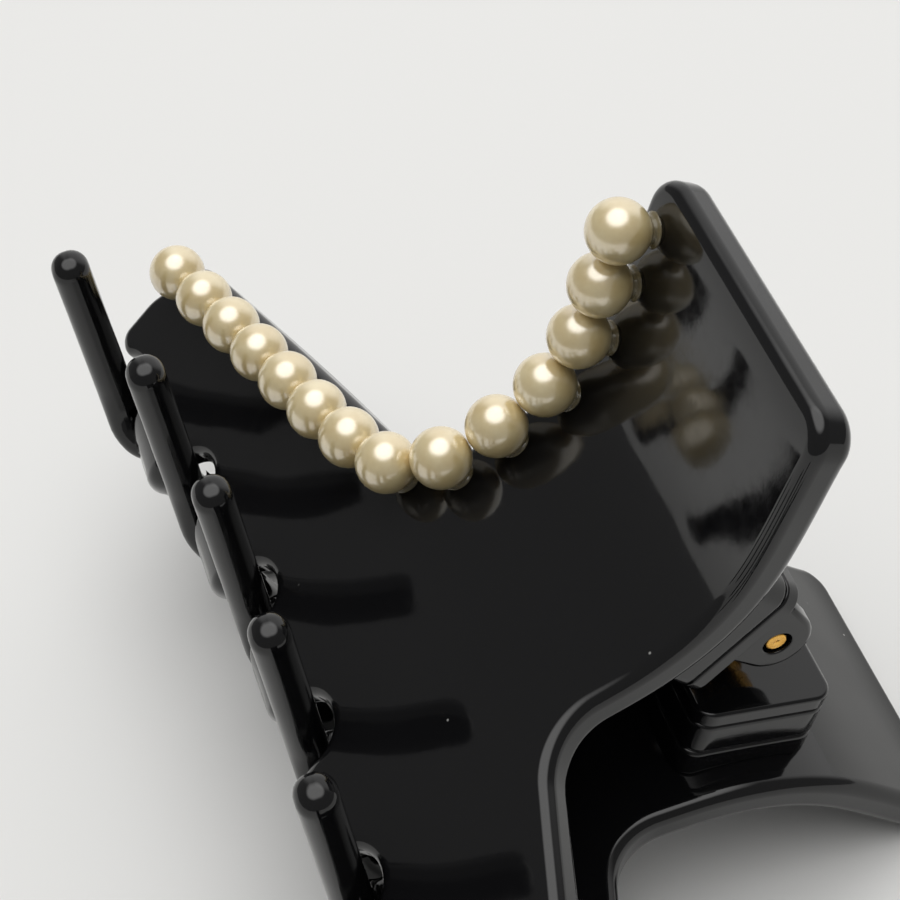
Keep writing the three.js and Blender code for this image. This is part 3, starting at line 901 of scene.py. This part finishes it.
def build_camera():
    data = bpy.data.cameras.new("camera")
    data.lens = LENS
    data.sensor_width = SENSOR
    data.clip_start = 0.01
    camera = bpy.data.objects.new("camera", data)
    look = Vector(turn_down(np.array(CAMERA_LOOK))).normalized()
    up = Vector(turn_down(np.array(CAMERA_UP)))
    right = look.cross(up).normalized()
    up = right.cross(look)
    turn = Matrix((right, up, -look)).transposed()
    camera.matrix_world = Matrix.Translation(to_row(np.array(CAMERA_AT))) @ turn.to_4x4()
    bpy.context.scene.collection.objects.link(camera)
    bpy.context.scene.camera = camera


def build_floor(half=3.0):
    """A pale matt table top, its half width in metres."""
    mesh = bpy.data.meshes.new("floor")
    corners = [(-half, -half, 0), (half, -half, 0), (half, half, 0), (-half, half, 0)]
    mesh.from_pydata(corners, [], [(0, 1, 2, 3)])
    floor = bpy.data.objects.new("floor", mesh)
    bpy.context.scene.collection.objects.link(floor)
    m = Nodes("pale_floor")
    m.set(Roughness=0.7)
    m.feed("Base Color", m.tint(m.noise(6, detail=2.0), (0.80, 0.80, 0.79), (0.82, 0.82, 0.81)))
    mesh.materials.append(m.material)


SKY_BASE = 0.22
# Bright parts of the studio: direction, where the glow starts and is full, and its strength.
SKY_GLOWS = [
    ((0.05, 0.0, 1.0), 0.76, 0.92, 2.2),
    ((0.75, -0.55, 0.35), 0.55, 0.92, 0.8),
]


def build_light():
    """A dim room, with a wide soft window above and a pale backdrop beyond the clip."""
    world = bpy.data.worlds.new("studio")
    world.use_nodes = True
    tree = world.node_tree
    direction = tree.nodes.new("ShaderNodeTexCoord").outputs["Generated"]
    strength = None
    for towards, start, full, power in SKY_GLOWS:
        facing = tree.nodes.new("ShaderNodeVectorMath")
        facing.operation = "DOT_PRODUCT"
        facing.inputs[1].default_value = Vector(towards).normalized()
        tree.links.new(direction, facing.inputs[0])
        glow = tree.nodes.new("ShaderNodeMapRange")
        glow.interpolation_type = "SMOOTHSTEP"
        for key, value in (("From Min", start), ("From Max", full), ("To Min", 0), ("To Max", power)):
            glow.inputs[key].default_value = value
        tree.links.new(facing.outputs["Value"], glow.inputs["Value"])
        total = tree.nodes.new("ShaderNodeMath")
        total.operation = "ADD"
        total.inputs[1].default_value = SKY_BASE
        tree.links.new(glow.outputs["Result"], total.inputs[0])
        if strength is not None:
            tree.links.new(strength, total.inputs[1])
        strength = total.outputs[0]
    background = tree.nodes["Background"]
    background.inputs["Color"].default_value = (1.0, 0.995, 0.985, 1)
    tree.links.new(strength, background.inputs["Strength"])
    bpy.context.scene.world = world
    bpy.context.scene.view_settings.view_transform = "Standard"


# ---- making --------------------------------------------------------------------------------

build_camera()
build_floor()
build_light()

build_jaw("front_jaw_sheet", "jaw_front", "front_jaw", FRONT_TEETH, front_end(), turned=False)
build_jaw("back_jaw_sheet", "jaw_back", "back_jaw", BACK_TEETH, BACK_END, turned=True)

LUGS = [(LUG_RADIUS, -LUG_OUTER, -LUG_INNER), (LUG_RADIUS, LUG_INNER, LUG_OUTER)]
build_hinge_stack("front", "front_jaw", LUGS, "hinge_lugs_front")
KNUCKLE = [(KNUCKLE_RADIUS, -KNUCKLE_TO, -KNUCKLE_FROM)]
build_hinge_stack("back", "back_jaw", KNUCKLE, "hinge_knuckle_back")
build_pin()
build_bush()
build_spring()
build_pearls()
